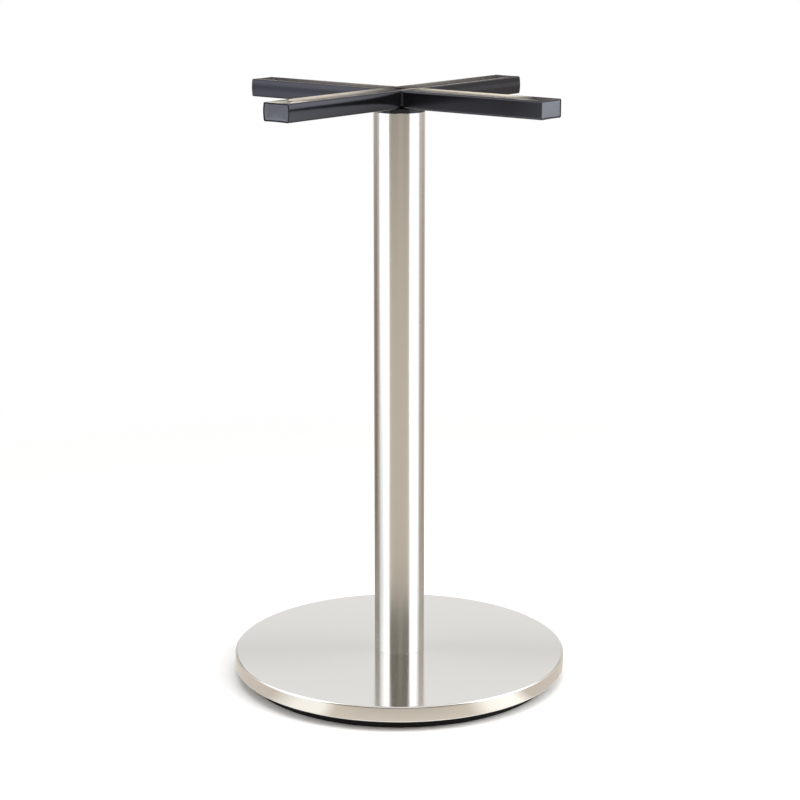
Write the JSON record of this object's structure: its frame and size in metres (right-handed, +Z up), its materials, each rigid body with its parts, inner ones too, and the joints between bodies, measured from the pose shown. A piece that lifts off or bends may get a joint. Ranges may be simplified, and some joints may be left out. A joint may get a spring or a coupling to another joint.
{
  "type": "cross table base",
  "caption": "Pedestal table base: flat round stainless foot on a rubber ring, polished round column and a black welded cross of rectangular tube that screws under a table top.",
  "frame": {"origin": "on the floor, under the column's axis, at the bottom of the rubber ring", "axes": "+Z up along the column; the long cross bar lies along Y and the two short bars along X"},
  "size_m": [0.425, 0.425, 0.71],
  "materials": {
    "polished_stainless": "polished stainless tube",
    "spun_stainless": "fine spun stainless sheet",
    "black_iron": "black painted casting",
    "floor_rubber": "moulded black rubber",
    "black_powder_coat": "satin black powder coat on steel",
    "grey_plug_plastic": "moulded grey polyethylene",
    "zinc_plate": "bright zinc plate on steel"
  },
  "bodies": {
    "root": {"base_cover": "spun_stainless", "base_weight": "black_iron", "floor_ring": "floor_rubber", "centring_disc": "grey_plug_plastic", "column_tube": "polished_stainless", "top_plate": "black_powder_coat", "cross_bar_long": "black_powder_coat", "cross_bar_right": "black_powder_coat", "cross_bar_left": "black_powder_coat", "corner_welds": "black_powder_coat", "plate_welds": "black_powder_coat", "seam_welds": "black_powder_coat", "tie_rod": "zinc_plate", "lower_washer": "zinc_plate", "lower_spring_washer": "zinc_plate", "lower_nut": "zinc_plate", "end_plug_right": "grey_plug_plastic", "end_plug_back": "grey_plug_plastic", "end_plug_left": "grey_plug_plastic", "end_plug_front": "grey_plug_plastic"}
  },
  "joints": []
}
